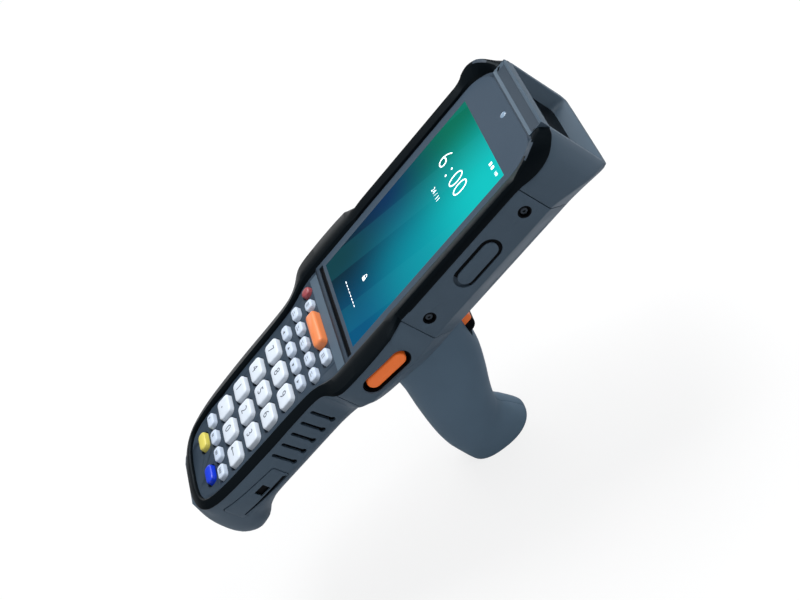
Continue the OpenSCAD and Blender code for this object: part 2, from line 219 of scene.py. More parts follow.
# %% A small shader language
class Value:
    def __init__(self, paint, out):
        self.paint, self.out = paint, out

    def _math(self, operation, *others):
        return self.paint.node("ShaderNodeMath", {"operation": operation}, self, *others)

    def __add__(self, other):
        return self._math("ADD", other)

    def __sub__(self, other):
        return self._math("SUBTRACT", other)

    def __mul__(self, other):
        return self._math("MULTIPLY", other)

    def sine(self):
        return self._math("SINE")

    def smooth(self, low, high):
        """Rises from 0 at low to 1 at high with a soft start and end."""
        return self.paint.node(
            "ShaderNodeMapRange", {"interpolation_type": "SMOOTHSTEP"}, self, low, high, 0.0, 1.0
        )


class Paint:
    def __init__(self, name, colour, roughness=0.5, **constants):
        self.material = bpy.data.materials.new(name)
        self.material.use_nodes = True
        self.tree = self.material.node_tree
        self.shader = self.tree.nodes["Principled BSDF"]
        self.shader.inputs["Base Color"].default_value = (*colour, 1)
        self.shader.inputs["Roughness"].default_value = roughness
        for key, value in constants.items():
            self.shader.inputs[key.replace("_", " ")].default_value = value
        self.material.diffuse_color = (*colour, 1)

    def link(self, value, socket):
        if isinstance(value, Value):
            self.tree.links.new(value.out, socket)
        elif socket.type == "RGBA":
            socket.default_value = (*value, 1)
        else:
            socket.default_value = value

    def node(self, kind, settings=None, *inputs, out=0, **named):
        n = self.tree.nodes.new(kind)
        for key, value in (settings or {}).items():
            setattr(n, key, value)
        for socket, value in zip(n.inputs, inputs):
            self.link(value, socket)
        for key, value in named.items():
            self.link(value, n.inputs[key])
        return Value(self, n.outputs[out])

    def mix(self, factor, a, b):
        n = self.tree.nodes.new("ShaderNodeMix")
        n.data_type = "RGBA"
        for value, i in ((factor, 0), (a, 6), (b, 7)):
            self.link(value, n.inputs[i])
        return Value(self, n.outputs[2])

    def place(self):
        return self.node("ShaderNodeTexCoord", out=3)

    def noise(self, scale, detail=2.0):
        return self.node("ShaderNodeTexNoise", None, Vector=self.place(), Scale=scale, Detail=detail,
                         Roughness=0.5)

    def feed(self, socket, value):
        self.link(value, self.shader.inputs[socket])

    def bump(self, height, strength, distance):
        self.feed("Normal", self.node("ShaderNodeBump", None, Strength=strength, Distance=distance,
                                      Height=height))


def tint(r, g, b):
    """Linear colour from the 0 to 255 values of a screen."""
    return tuple((v / 255 / 12.92) if v < 11 else ((v / 255 + 0.055) / 1.055) ** 2.4 for v in (r, g, b))

# %% [markdown]
# The housings are moulded in slate coloured plastic with a fine spark-eroded texture. A very
# small bump breaks up the highlights, and a faint mottle keeps large faces from looking flat.

# %% Moulded plastics and elastomer
GRAIN_DEPTH = 0.00004


def textured(name, colour, roughness, grain=2600, strength=0.35, mottle=0.06, **constants):
    """A moulded finish with a fine grain and a faint mottle of a lighter colour."""
    p = Paint(name, colour, roughness, **constants)
    cloud = p.noise(60, 3.0)
    lighter = tuple(min(1, c * 1.35) for c in colour)
    p.feed("Base Color", p.mix(cloud.smooth(0.35, 0.65) * mottle * 2, colour, lighter))
    p.feed("Roughness", cloud * 0.1 + (roughness - 0.05))
    p.bump(p.noise(grain), strength, GRAIN_DEPTH)
    return p.material


SLATE = tint(76, 92, 106)
DULL = {"Specular_IOR_Level": 0.2}
CLEAN = {"mottle": 0.0, "strength": 0.1}
housing = textured("slate housing", SLATE, 0.46, **DULL)
grip_plastic = textured("slate grip", tint(98, 120, 138), 0.5, grain=2200, **DULL)
# A mid slate for painted light and shade: the lit tops of the head guards and the shaded floor of the
# head strip.
lit_guard_shaded_strip = textured("slate for painted guard light and strip shade", tint(50, 62, 74), 0.46, **DULL)
# Black that paints the shade in pockets, slots, grooves and wells, and also colours the trigger's lower
# end.
shade_and_toe_black = textured("black painted shade and trigger toe", tint(7, 9, 12), 0.5, Specular_IOR_Level=0.05)
deck_plastic = textured("slate deck", tint(48, 61, 74), 0.5, **DULL)
# A darker slate that paints the shade on the sloping faces of the bank in front of the glass.
painted_bank_shade = textured("slate painted bank shade", tint(34, 43, 53), 0.48, **DULL)
dark_trim = textured("dark trim", tint(20, 26, 32), 0.42, **DULL)
elastomer = textured("black elastomer", tint(5, 10, 14), 0.38, grain=1800,
                     Specular_IOR_Level=0.08, Specular_Tint=(0.72, 0.88, 1.0, 1))
glass_print = textured("printed glass border", tint(58, 72, 86), 0.4, strength=0.1, mottle=0.03,
                       Specular_IOR_Level=0.12)
white_key = textured("white key", tint(214, 223, 234), 0.38, **CLEAN)
grey_key = textured("grey key", tint(196, 209, 226), 0.38, **CLEAN)
# The orange of the scan buttons and the trigger glows faintly as a painted glow.
scan_orange = textured("scan orange with painted glow", tint(255, 122, 40), 0.4, **CLEAN,
                       Emission_Color=(1.0, 0.16, 0.02, 1), Emission_Strength=0.14)
scan_key_orange = textured("scan key orange", tint(232, 132, 78), 0.36, **CLEAN)
yellow_key = textured("yellow key", tint(212, 200, 92), 0.38, **CLEAN)
blue_key = textured("blue key", tint(6, 54, 208), 0.34, **CLEAN)
red_key = textured("red key", tint(150, 66, 72), 0.36, **CLEAN)
key_print = Paint("key print", tint(58, 68, 82), 0.5).material
black_steel = Paint("black screw steel", tint(58, 66, 75), 0.42, Metallic=0.5).material
port_steel = Paint("port steel", tint(150, 153, 158), 0.3, Metallic=1.0).material
window_glass = Paint("scan window", tint(2, 3, 6), 0.3, Specular_IOR_Level=0.02).material
sensor_glass = Paint("sensor lens", tint(128, 150, 172), 0.15, Coat_Weight=0.6).material

# %% [markdown]
# ## The housing as one form
# The four housing parts are cut from one form. Its half section is a chain of five corners:
# top edge, side, knee, belly and keel. The table gives their places at stations along the
# body, and smooth curves carry each column from tail to head. Where the curve is level, as
# beside the display, the form is an exact prism.

# %% Stations of the housing
# y, top x, side x, z, knee x, z, belly x, z, keel x, z, roundness of knee and belly
STATIONS = [
    (-161.2, 4, 9, -10, 9.5, -18, 7, -23.5, 3, -25, 0.95, 0.9),
    (-160.2, 8, 14, -9.5, 15, -19.5, 11.5, -26, 5, -27.4, 0.95, 0.9),
    (-157.6, 13.6, 19.8, -9.5, 20.8, -21.5, 16.5, -28.8, 8, -30.4, 0.95, 0.9),
    (-154, 18.6, 23.4, -10, 24, -23, 19.6, -30.8, 11, -32.8, 0.92, 0.85),
    (-149, 24.9, 26.2, -10.5, 26, -23.4, 21.4, -31.6, 12.5, -34.2, 0.9, 0.8),
    (-144, 27.6, 27.8, -10.5, 27.2, -21.8, 21.6, -31, 12.5, -33.6, 0.9, 0.85),
    (-138, 29.4, 29.4, -9.5, 28.6, -18.8, 20.6, -28.4, 11, -30.4, 0.9, 0.9),
    (-128, 30.9, 30.9, -8.5, 30.4, -17.6, 20.6, -26, 9.5, -27.3, 0.9, 0.92),
    (-108, 32.2, 32.2, -8, 31.7, -17.3, 21.2, -25.4, 9, -26.6, 0.9, 0.92),
    (-84, 32.3, 32.3, -8, 31.8, -17.3, 21.6, -25.6, 9, -26.7, 0.9, 0.92),
    (-74, 33, 33, -8, 32.4, -16.8, 22.4, -26.4, 11, -27.4, 0.8, 0.8),
    (-68.5, 35.6, 35.6, -8, 35.2, -14.6, 24.4, -27, 15, -28.6, 0.6, 0.6),
    (-65.4, 39.4, 39.4, -7, 39.2, -13, 26.8, -27.4, 19, -29.8, 0.4, 0.5),
    (-62, 42.6, 42.6, -7, 42.3, -12.6, 27.6, -27.8, 21, -30.6, 0.3, 0.5),
    (-56, 44.7, 44.7, -7, 44.4, -13.4, 28.4, -28.2, 22, -32, 0.25, 0.5),
    (-40, 45, 45, -8, 44.7, -14.8, 29.6, -28.8, 24, -34.4, 0.25, 0.5),
    (-30, 44.3, 44.3, -9, 43.7, -16.4, 27.4, -31.6, 22, -36, 0.2, 0.5),
    (-21.5, 39.6, 39.6, -10, 39.4, -18.6, 22.2, -35.6, 17, -37, 0.12, 0.4),
    (-12, 39.2, 39.2, -10, 39, -18.7, 22, -35.7, 17, -37, 0.12, 0.4),
    (48.5, 39.2, 39.2, -10, 39, -18.7, 22, -35.7, 17, -37, 0.12, 0.4),
    (57, 38.5, 38.5, -12, 38.3, -21.2, 22.6, -35.7, 17, -37, 0.2, 0.4),
    (65, 35, 35.2, -14, 35.2, -25.8, 24.2, -35.2, 18, -36.4, 0.3, 0.4),
    (69.4, 29.3, 29.4, -16, 29.6, -30, 25, -34.9, 18.5, -35.4, 0.3, 0.4),
    (71, 25.8, 25.8, -16, 26.2, -32, 24.6, -34.6, 18.5, -34.9, 0.3, 0.4),
]
HOUSING_TOP = -3.0
# y, height of the housing's edge under the bumper, inner side of that edge
EDGE = [
    (-161.2, -6, 0.3), (-159.4, -2.6, 0.3), (-157, -0.95, 0.3), (-152.4, -0.8, 0.3), (-151, -0.75, 14),
    (-149, -0.65, 20.5), (-143.5, -0.5, 24), (-130, -0.2, 26.6), (-104, -0.12, 27.6), (-76, -0.12, 28.6),
    (-69.5, -0.1, 30.2), (-62.6, 0.25, 33), (-57, 0.3, 34), (-28, 0.3, 34.4), (-22.5, -0.7, 34.4),
    (-18, -1.4, 34.4), (46, -1.4, 34.4), (48.5, -1.6, 34.4), (52, -2, 34), (55, -2.8, 33.6),
    (58, -3.4, 32.4), (61, -3.8, 30.6), (64.6, -3.9, 27), (66, -3.8, 24.95), (71, -3.3, 24.95),
]


def curve(rows, y):
    """All columns at y. Slopes are limited, so a level stretch stays level and nothing overshoots."""
    y = min(max(y, rows[0][0]), rows[-1][0])
    i = max(k for k in range(len(rows) - 1) if rows[k][0] <= y)

    def slope(k, c):
        if k in (0, len(rows) - 1):
            return 0.0
        a = (rows[k][c] - rows[k - 1][c]) / (rows[k][0] - rows[k - 1][0])
        b = (rows[k + 1][c] - rows[k][c]) / (rows[k + 1][0] - rows[k][0])
        return 0.0 if a * b <= 0 else 2 * a * b / (a + b)

    a, b = rows[i], rows[i + 1]
    h = b[0] - a[0]
    t = (y - a[0]) / h
    h0, h1 = (1 + 2 * t) * (1 - t) ** 2, t * (1 - t) ** 2
    h2, h3 = t * t * (3 - 2 * t), t * t * (t - 1)
    return [
        h0 * a[c] + h1 * h * slope(i, c) + h2 * b[c] + h3 * h * slope(i + 1, c) for c in range(1, len(a))
    ]


def parabola(start, corner, end, count=5):
    """Points of the parabola from start to end that rounds the corner between them."""
    shares = [k / (count - 1) for k in range(count)]
    return [start * (1 - t) ** 2 + corner * 2 * t * (1 - t) + end * t * t for t in shares]


def rounded_corner(before, corner, after, roundness):
    """One corner of a chain, rounded over a share of half its sides."""
    start = corner + (before - corner) * roundness / 2
    end = corner + (after - corner) * roundness / 2
    return parabola(start, corner, end)


def housing_ring(y):
    top, sx, sz, kx, kz, bx, bz, lx, lz, knee_r, belly_r = curve(STATIONS, y)
    edge, inner = curve(EDGE, y)
    inner = min(inner, top - 0.6)
    chain = [Vector(p) for p in ((top, edge), (sx, sz), (kx, kz), (bx, bz), (lx, lz), (0, lz))]
    roundness = [0, 0.9, knee_r, belly_r, 0.9]
    half = [Vector((inner, min(HOUSING_TOP, edge - 0.4))), Vector((inner, edge)), chain[0]]
    for i in range(1, 5):
        half += rounded_corner(chain[i - 1], chain[i], chain[i + 1], roundness[i])
    right = [(p.x, y, p.y) for p in half]
    return right + [(0, y, lz)] + [(-x, y, z) for x, y, z in reversed(right)]


def surface(name, rows):
    """A closed skin through rings of points: a grid primitive whose vertices are set in place."""
    around = len(rows[0])
    bpy.ops.mesh.primitive_grid_add(x_subdivisions=around, y_subdivisions=len(rows) - 1, size=1)
    obj = bpy.context.object
    obj.name = name
    width = around + 1
    for j, row in enumerate(rows):
        for i in range(width):
            obj.data.vertices[j * width + i].co = row[i % around]
    everything(obj)
    bpy.ops.mesh.remove_doubles(threshold=0.001)
    bpy.ops.mesh.fill_holes(sides=0)
    return outward()


def steps(start, end, pitch):
    count = max(2, math.ceil(abs(end - start) / pitch))
    return [start + (end - start) * i / count for i in range(count + 1)]


SEAMS = (-161.2, -62.0, -21.5, 48.5, 71.0)
SEAM_GAP = 0.2


def housing_part(name, y0, y1, pitch):
    obj = surface(name, [housing_ring(y) for y in steps(y0, y1, pitch)])
    print(name, len(obj.data.polygons), "faces")
    return obj

# %% [markdown]
# Cutters are primitives too: a rounded block is a cube with its upright edges bevelled, and a
# stadium is such a block that is rounded by half its height.

# %% Primitive helpers
def block(x, y, z, upright=0.0, segments=5):
    """A block between two places on each axis, with rounded upright edges."""
    bpy.ops.mesh.primitive_cube_add(size=1)
    obj = bpy.context.object
    obj.dimensions = (x[1] - x[0], y[1] - y[0], z[1] - z[0])
    obj.location = ((x[0] + x[1]) / 2, (y[0] + y[1]) / 2, (z[0] + z[1]) / 2)
    bake()
    if upright:
        round_off(obj, "EDGE", lambda c, d: abs(d.z) > 0.9, upright, segments)
    return obj


def rod(radius, a, b, sides=40):
    """A cylinder between two points."""
    a, b = Vector(a), Vector(b)
    bpy.ops.mesh.primitive_cylinder_add(vertices=sides, radius=radius, depth=(b - a).length)
    obj = bpy.context.object
    obj.rotation_euler = (b - a).to_track_quat("Z", "Y").to_euler()
    obj.location = (a + b) / 2
    bake()
    return obj


def side_stadium(x, y, z, length, height, slope=0.0):
    """A stadium that stands on the side of the body, between two places along X."""
    obj = block((-height / 2, height / 2), (-length / 2, length / 2), x, height / 2 - 0.01, 12)
    obj.rotation_euler = (0, math.radians(90), 0)
    bake()
    obj.rotation_euler = (math.radians(slope), 0, 0)
    obj.location = (0, y, z)
    bake()
    return obj


def side_x(y, z):
    """How far out the housing's side lies at a place."""
    points = [(p[0], p[2]) for p in housing_ring(y) if p[0] > 0 and p[2] < HOUSING_TOP]
    points = [(curve(STATIONS, y)[0], curve(EDGE, y)[0])] + points
    for (x0, z0), (x1, z1) in zip(points, points[1:]):
        if z0 >= z >= z1 and z0 > z1:
            return x0 + (x1 - x0) * (z0 - z) / (z0 - z1)
    return points[-1][0]


def side_patch(name, y0, y1, high, low, inside, outside, pitch=1.6):
    """A bar that follows the housing's side. high and low give its edges at both ends."""
    rows = []
    for y in steps(y0, y1, pitch):
        t = (y - y0) / (y1 - y0)
        top, bottom = (edge[0] + (edge[1] - edge[0]) * t for edge in (high, low))
        levels = [top + (bottom - top) * k / 4 for k in range(5)]
        row = [(side_x(y, z) + outside, y, z) for z in levels]
        rows.append(row + [(side_x(y, z) + inside, y, z) for z in reversed(levels)])
    return surface(name, rows)


def prism(corners, shift):
    """A flat outline through the corners, drawn out by a shift."""
    bpy.ops.mesh.primitive_circle_add(vertices=len(corners), fill_type="NGON")
    obj = bpy.context.object
    for vertex, corner in zip(obj.data.vertices, corners):
        vertex.co = corner
    everything(obj)
    draw_out(shift)
    return outward()


def side_prism(points, x0, x1):
    """A prism across the body whose outline is given in Y and Z."""
    return prism([(x0, y, z) for y, z in points], (x1 - x0, 0, 0))


def mirrored(obj):
    """A copy on the other side of the body's middle plane."""
    copy = duplicate(obj)
    copy.scale = (-1, 1, 1)
    bake()
    everything(copy)
    return outward()


def moved_across(obj):
    """The object on the other side only."""
    other = mirrored(obj)
    bpy.data.objects.remove(obj)
    return other

# %% [markdown]
# ## Rear cover
# The middle housing is a plain prism with long chamfers. Its sides carry two screw recesses
# and, on the right, the pocket of the port cover. A thin parting line runs along the chamfer.

# %% Rear cover
BODY_X = 39.2
SCREW_Z = -10.5
SCREW_Y = (-14.9, 42.2)
PORT_Y, PORT_Z = 14.8, -10.3
PORT_LENGTH, PORT_HEIGHT, FLAP_INSET = 24.6, 10.2, 3.4

SCREWS = [(s, y) for y in SCREW_Y for s in (-1, 1)]


def side_rod(radius, s, y, inner, outer, sides=40):
    """A rod at a screw's place, between two distances from the body's side."""
    return rod(radius, (s * (BODY_X + inner), y, SCREW_Z), (s * (BODY_X + outer), y, SCREW_Z), sides)


rear = housing_part("rear cover", SEAMS[2] + SEAM_GAP, SEAMS[3] - SEAM_GAP, 9)
cutters = [side_rod(2.8, s, y, -1.6, 2) for s, y in SCREWS]
cutters.append(side_stadium((BODY_X - 1.5, BODY_X + 3), PORT_Y, PORT_Z, PORT_LENGTH, PORT_HEIGHT))
for s in (-1, 1):
    line = block((-0.12, 0.12), (3, 40), (-0.5, 0.5))
    line.rotation_euler = (0, math.radians(45 * s), 0)
    line.location = (s * 26.2, 0, -31.6)
    cutters.append(line)
carve(rear, cutters)
soften(rear, 0.22)
settle(rear, "rear cover skin", housing, ["rear_cover"])

# %% [markdown]
# ## Head cap
# The head narrows in plan towards the front while its sides grow taller, so the lower lip
# stands out. A tapered mouth leads back to the dark scan window.

# %% Head cap with its mouth
MOUTH_X, MOUTH_TOP, MOUTH_BOTTOM = 23.6, -1.9, -32.9
WINDOW_X, WINDOW_TOP, WINDOW_BOTTOM = 21.9, -3.0, -31.2
WINDOW_Y = 64.5
HEAD_Y = SEAMS[4]


def mouth_ring(y, x, top, bottom, r):
    corners = [(x, top), (x, bottom), (-x, bottom), (-x, top)]
    points = []
    for i, c in enumerate(corners):
        before, after = Vector(corners[i - 1]), Vector(corners[(i + 1) % 4])
        c = Vector(c)
        start = c + (before - c).normalized() * r
        end = c + (after - c).normalized() * r
        points += [(p.x, y, p.y) for p in parabola(start, c, end)]
    return points


head = housing_part("head cap", SEAMS[3] + SEAM_GAP, HEAD_Y, 1.6)
mouth = surface("mouth", [
    mouth_ring(WINDOW_Y, WINDOW_X, WINDOW_TOP, WINDOW_BOTTOM, 3.0),
    mouth_ring(HEAD_Y + 0.1, MOUTH_X, MOUTH_TOP, MOUTH_BOTTOM, 2.4),
    mouth_ring(HEAD_Y + 3, MOUTH_X + 2, MOUTH_TOP + 1.6, MOUTH_BOTTOM - 1.6, 2.4),
])
carve(head, [mouth, block((-24.7, 24.7), (HEAD_Y - 9, HEAD_Y + 3), (-3.6, 2))])
soften(head, 0.35, 2, 35)
settle(head, "head cap skin", housing, ["head_cap"])

window = block((-WINDOW_X - 0.2, WINDOW_X + 0.2), (WINDOW_Y - 0.6, WINDOW_Y + 0.3),
               (WINDOW_BOTTOM - 0.2, WINDOW_TOP + 0.1))
round_off(window, "EDGE", lambda c, d: abs(d.y) > 0.9, 1.0, 4)
soften(window, 0.08)
settle(window, "scan window pane", window_glass, ["scan_window"])

# %% [markdown]
# ## Button housing
# Behind the display the body swells to both sides, and each swelling carries an orange scan
# button in a deep stadium pocket that leans with the body's lower edge.

# %% Button housing and side scan buttons
BUTTON_Y, BUTTON_Z, BUTTON_SLOPE = -41.6, -8.8, -6
BUTTON_LENGTH, BUTTON_HEIGHT = 19.8, 6.3
WELL_LENGTH, WELL_HEIGHT = BUTTON_LENGTH + 0.7, BUTTON_HEIGHT + 0.7


def button_stadium(x0, x1, length, height):
    return side_stadium((x0, x1), BUTTON_Y, BUTTON_Z, length, height, BUTTON_SLOPE)


bulge = housing_part("button housing", SEAMS[1] + SEAM_GAP, SEAMS[2] - SEAM_GAP, 1.6)
pocket = button_stadium(41.2, 50, 24, 9.2)
well = button_stadium(36, 45, WELL_LENGTH, WELL_HEIGHT)
carve(bulge, [mirrored(pocket), mirrored(well), pocket, well])
soften(bulge, 0.3, 2, 38)
settle(bulge, "button housing skin", housing, ["button_housing"])

# A black ring in each button pocket, round the button, is painted shade in the pocket.
pocket_shade = button_stadium(41.25, 43.85, 23.96, 9.16)
carve(pocket_shade, [button_stadium(41.6, 46, 22.9, 8.1)])
carve(pocket_shade, [button_stadium(38, 45, WELL_LENGTH, WELL_HEIGHT)])
settle(join([pocket_shade, mirrored(pocket_shade)]), "button wells", shade_and_toe_black)

# The orange buttons carry the faint painted glow of their finish.
for s, side in ((1, "right"), (-1, "left")):
    button = button_stadium(34, 43.9, BUTTON_LENGTH, BUTTON_HEIGHT)
    round_off(button, "FACE", lambda c, n: n.x > 0.9, 0.8, 4)
    button = join([button, button_stadium(33, 34, 21.8, 8.2)])
    if s < 0:
        button = moved_across(button)
    settle(button, f"side scan button {side}", scan_orange, [f"side_button_{side}"],
           body=f"scan_button_{side}")

# %% [markdown]
# ## Handle
# The keypad handle is round underneath so that it fills a closed hand. Five slanting finger
# slots are pressed into each side, and the heel at the tail stands out below.

# %% Handle
SLOTS, SLOT_START, SLOT_PITCH, SLOT_LEAN = 5, -79.6, 6.6, 5.5
INLAY_Y0, INLAY_Y1 = -144.6, -111.6
INLAY_HIGH, INLAY_LOW = (-5.0, -6.8), (-16.4, -16.1)


def lean(obj, x, i):
    """Turns a piece that was made at the origin and moves it to a finger slot."""
    obj.rotation_euler = (math.radians(SLOT_LEAN), 0, 0)
    obj.location = (x, SLOT_START - SLOT_PITCH * i, -3.2)
    return bake()


def round_ends(obj, reach, offset):
    """Rounds the short edges within reach of either end of an inlaid piece."""
    def at_end(c, d):
        return abs(d.x) > 0.8 and not INLAY_Y0 + reach <= c.y <= INLAY_Y1 - reach

    round_off(obj, "EDGE", at_end, offset, 3)


handle = housing_part("handle", SEAMS[0], SEAMS[1] - SEAM_GAP, 1.5)
cutters = []
for s in (-1, 1):
    for i in range(SLOTS):
        groove = join([
            block((29.4, 36), (-0.9, 0.9), (-9.9, 0)),
            rod(0.92, (29.4, 0, 0), (36, 0, 0), 16),
            rod(1.38, (29.4, 0, -9.9), (36, 0, -9.9), 20),
        ])
        lean(groove, 0.9, i)
        if s < 0:
            groove = moved_across(groove)
        apply_modifier(groove, "merge", "REMESH", mode="VOXEL", voxel_size=0.16)
        cutters.append(groove)
seat = side_patch("inlay seat", INLAY_Y0, INLAY_Y1, INLAY_HIGH, INLAY_LOW, -0.75, 2.5)
round_ends(seat, 0.1, 1.5)
carve(handle, cutters + [mirrored(seat), seat])
soften(handle, 0.18, 2, 42)
settle(handle, "handle skin", housing, ["handle_shell", "battery_cover"])

# Black bars at the bottom of the finger slots are painted shade in the slots.
floors = []
for i in range(SLOTS):
    floor_bar = lean(block((30.32, 30.7), (-1.6, 1.6), (-11.5, 1.1)), 0, i)
    floors += [floor_bar, mirrored(floor_bar)]
settle(join(floors), "slot floors", shade_and_toe_black)

# %% [markdown]
# ## Elastomer bumper
# A soft black bumper runs round the whole front. Seen from above it lies between two smooth
# outlines. Its section is a chain of crisp corners that changes along the body: a low ridge
# beside the keys, a broad shoulder over the scan buttons, a bank that rises outwards beside
# the display, and tall guards at the head corners, where a fall would hit first.

# %% Bumper between two outlines
# foot x, y and outer x, y, from the tail to the head
BUMPER = [
    (0, -151.7, 0, -157), (8, -151.6, 10.5, -156.4), (15.2, -150.4, 19.8, -153.4),
    (20, -147.6, 25.2, -149), (22.6, -143, 28.1, -143.5), (24, -137, 29.8, -137.5),
    (25, -130, 30.9, -130), (25.5, -118, 31.8, -118), (25.9, -104, 32.35, -104),
    (26.2, -90, 32.4, -90), (27, -76, 32.9, -76), (28.6, -69.5, 35.2, -69),
    (31.2, -63, 41.6, -63.2), (32.4, -58, 44.5, -58), (32.5, -48, 45.2, -48),
    (32.5, -38, 45.2, -38), (32.6, -30, 44.6, -30), (32.6, -27.4, 44, -27.4),
    (32.8, -21.6, 39.8, -21.6), (33, -19.6, 39.4, -19.6), (33, -10, 39.4, -10),
    (33, 20, 39.4, 20), (33, 44, 39.4, 44), (33, 48, 39.4, 49),
    (32.4, 54, 38.8, 57.5), (29.2, 60.4, 35.4, 65.2), (25.6, 64, 29.6, 69.8),
    (23, 65.4, 25.2, 70.8),
]
# y, foot height, then share of the way out and height of four corners, then outer height
BAND_SHAPE = [
    (-157, -0.5, 0.07, 0.5, 0.20, 1, 0.30, 0.95, 0.92, -0.1, -0.4),
    (-145, -0.5, 0.07, 0.7, 0.24, 1.2, 0.32, 1.1, 0.92, 0, -0.25),
    (-130, -0.5, 0.07, 0.9, 0.20, 1.4, 0.28, 1.3, 0.92, 0.25, 0),
    (-100, -0.5, 0.07, 1, 0.20, 1.55, 0.28, 1.45, 0.92, 0.3, 0.05),
    (-66.5, -0.5, 0.07, 1.1, 0.22, 1.7, 0.30, 1.6, 0.92, 0.4, 0.15),
    (-61, -0.3, 0.10, 1.4, 0.20, 1.85, 0.45, 1.8, 0.88, 1.35, 0.5),
    (-28.5, 0.1, 0.11, 1.5, 0.20, 1.85, 0.45, 1.75, 0.88, 1.2, 0.45),
    (-22.8, 0.1, 0.05, 1.3, 0.52, 1.9, 0.72, 1.9, 0.92, 1, -0.55),
    (-16, 0.1, 0.05, 1.3, 0.57, 2.1, 0.76, 2.2, 0.92, 1.2, -1.2),
    (46.5, 0.1, 0.05, 1.3, 0.57, 2.1, 0.76, 2.2, 0.92, 1.2, -1.2),
    (49.5, 0.1, 0.10, 1.4, 0.66, 2.1, 0.84, 2.3, 0.95, 1.8, -1.6),
    (53, 0.1, 0.12, 1.5, 0.78, 3.3, 0.92, 3.5, 0.98, 3.1, -2.5),
    (57.5, 0.1, 0.12, 1.6, 0.76, 4.1, 0.91, 4.3, 0.98, 3.9, -3.2),
    (61.5, 0.1, 0.12, 1.6, 0.64, 4.2, 0.81, 4.4, 0.90, 3.9, -3.5),
    (65.2, 0.1, 0.12, 1.5, 0.48, 3.7, 0.63, 3.9, 0.74, 3.3, -3.7),
    (69.8, 0.1, 0.10, 0.9, 0.36, 1.8, 0.48, 1.7, 0.60, 1.2, -3.4),
    (70.8, 0.1, 0.10, 0.5, 0.30, 0.8, 0.44, 0.7, 0.60, 0.3, -2.9),
]


def catmull(a, b, c, d, t):
    """A place between b and c on the smooth curve through four rows."""
    def mixed(p, q, r, s):
        return 0.5 * (2 * q + (r - p) * t + (2 * p - 5 * q + 4 * r - s) * t * t
                      + (3 * q - p - 3 * r + s) * t ** 3)

    return tuple(mixed(*column) for column in zip(a, b, c, d))


def along(rows, count):
    """Smooth chain through rows that start on the middle plane, with count steps between them."""
    start = (-rows[1][0], rows[1][1], -rows[1][2], rows[1][3])
    full = [start] + rows + [rows[-1]]
    chain = [catmull(*full[i : i + 4], k / count) for i in range(len(rows) - 1) for k in range(count)]
    return chain + [rows[-1]]


def bumper_row(ix, iy, ox, oy):
    shape = curve(BAND_SHAPE, oy)
    edge = curve(EDGE, oy)[0]
    chain = [(0.0, HOUSING_TOP), (0.0, shape[0])] + [(shape[k], shape[k + 1]) for k in (1, 3, 5, 7)]
    chain += [(1.0, shape[9]), (1.0, edge - 0.05), (0.55, edge - 0.3)]
    return [(ix + (ox - ix) * share, iy + (oy - iy) * share, z) for share, z in chain]


half_rows = [bumper_row(*row) for row in along(BUMPER, 5)]
rows = [[(-x, y, z) for x, y, z in row] for row in reversed(half_rows[1:])] + half_rows
bumper = surface("bumper", rows)
soften(bumper, 0.22, 2, 24)
settle(bumper, "bumper skin", [elastomer, lit_guard_shaded_strip], ["bumper_band"], smooth=28)
# The upward faces on top of the head guards get the lighter slate, which is painted light on the black
# elastomer.
paint_light_by_slope(bumper, lambda place, up: place.y > 59.5 and place.z > 2.9 and up > 0.75)

# %% [markdown]
# ## Front frame
# The deck with its key openings already has the right shape, so a merged copy of the solid
# gets soft edges, and an apron closes the deck towards the tail. The part under the head strip
# is cut away. Between the deck and the glass lie a bank whose sloping faces are painted a
# darker slate as shade, a plate of housing slate on the deck that is painted light, and a
# groove whose black floor is painted shade.

# %% Softened front frame
def softened_copy(node, width, angle=32):
    copy = duplicate(nodes[node])
    copy.parent = None
    for key in list(copy.keys()):
        if key.startswith("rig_"):
            del copy[key]
    copy.matrix_world = FROM_ROW
    bake()
    everything(copy)
    bpy.ops.mesh.remove_doubles(threshold=0.002)
    bpy.ops.mesh.dissolve_limited(angle_limit=math.radians(0.6))
    leave()
    if width:
        soften(copy, width, 2, angle)
    return copy


def flat_prism(points, z0, z1):
    """A prism over an outline given by its right half, in X and Y."""
    outline = points + [(-x, y) for x, y in reversed(points) if x > 0.01]
    return prism([(x, y, z0) for x, y in outline], (0, 0, z1 - z0))


front = softened_copy("front_frame", 0)
DECK_TOP = -0.5
APRON = [(0, -152.4), (8.4, -152.3), (15.8, -151), (20.8, -148), (23.4, -143.2), (24.6, -137),
         (24.6, -126), (0, -126)]
APRON_HOLE = [(0, -151.6), (9, -151), (16, -147.4), (20.4, -140.4), (22.4, -130), (22.4, -125),
              (0, -125)]
apron = flat_prism(APRON, -2.9, DECK_TOP)
carve(apron, [flat_prism(APRON_HOLE, -4, 1)])
apply_modifier(front, "join apron", "BOOLEAN", operation="UNION", solver="EXACT", object=apron)
bpy.data.objects.remove(apron)
carve(front, [block((-30, 30), (64.9, 75), (-4, 3)), block((-60, 60), (-53, 80), (0.1, 3))])
soften(front, 0.16, 2, 32)
settle(front, "front frame skin", [deck_plastic, painted_bank_shade], ["front_frame"], smooth=20)
# The sloping faces of the bank get the darker slate as painted shade.
paint_light_by_slope(front, lambda place, up: -53.9 < place.y < -50.9 and 0.5 < up < 0.999)
# A thin plate of housing slate on the deck in front of the bank is painted light for a lit strip of
# deck.
painted_light_plate = block((-30.6, 30.6), (-58.4, -53.9), (-1.2, DECK_TOP + 0.06))
soften(painted_light_plate, 0.04, 1)
settle(painted_light_plate, "deck sill", housing)
# The groove's floor is black as painted shade in the groove.
groove_floor = block((-30.4, 30.4), (-50.95, -48.7), (-1.8, -0.5))
settle(groove_floor, "ledge groove", shade_and_toe_black)

